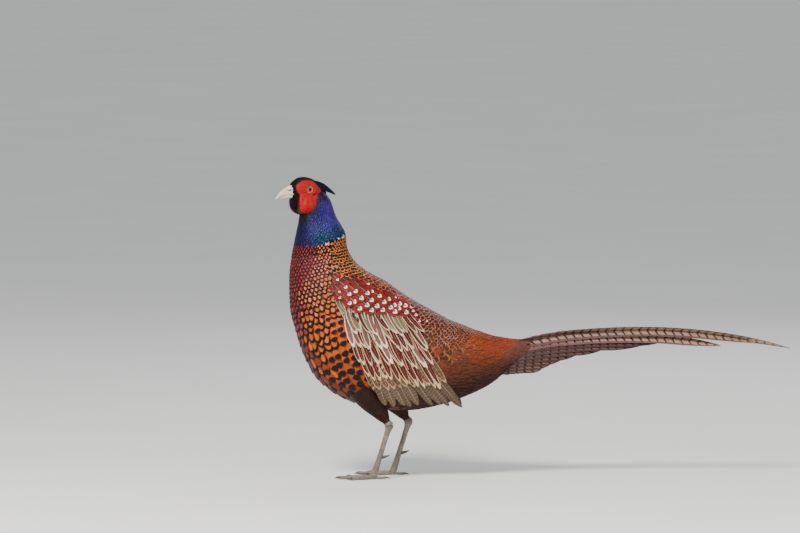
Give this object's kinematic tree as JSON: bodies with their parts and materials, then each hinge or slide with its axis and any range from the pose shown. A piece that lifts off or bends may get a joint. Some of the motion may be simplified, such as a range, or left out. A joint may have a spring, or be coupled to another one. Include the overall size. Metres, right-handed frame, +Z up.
{
  "type": "common pheasant model",
  "caption": "Male common pheasant standing alert, with red face wattles, ear tufts, folded wings and a long pointed tail.",
  "frame": {"origin": "on the floor under the middle of the bird's whole length and width", "axes": "the bird faces -X and its tail runs to +X, its left side is -Y, +Z up; the head is turned about 33 degrees to its left"},
  "size_m": [0.7726, 0.1406, 0.4512],
  "materials": {
    "crown": "glossy blue-green black feathers",
    "neck": "glossy violet-blue feathers",
    "breast": "satin copper feathers",
    "rump": "satin rust-brown feathers",
    "wing": "satin maroon and cream feathers",
    "tail": "satin buff feathers with dark bars",
    "wattle": "satin red bare skin",
    "bill": "satin pale horn",
    "eye": "wet gloss",
    "leg": "satin grey-brown scales"
  },
  "bodies": {
    "root": {"head": "crown", "neck": "neck", "torso": "breast", "rump": "rump", "tail": "tail", "wing_left": "wing", "wing_right": "wing", "thigh_left": "rump", "thigh_right": "rump", "shank_left": "leg", "shank_right": "leg", "foot_left": "leg", "foot_right": "leg", "bill_upper": "bill", "bill_lower": "bill", "wattle_left": "wattle", "wattle_right": "wattle", "eye_left": "eye", "eye_right": "eye"}
  },
  "joints": []
}
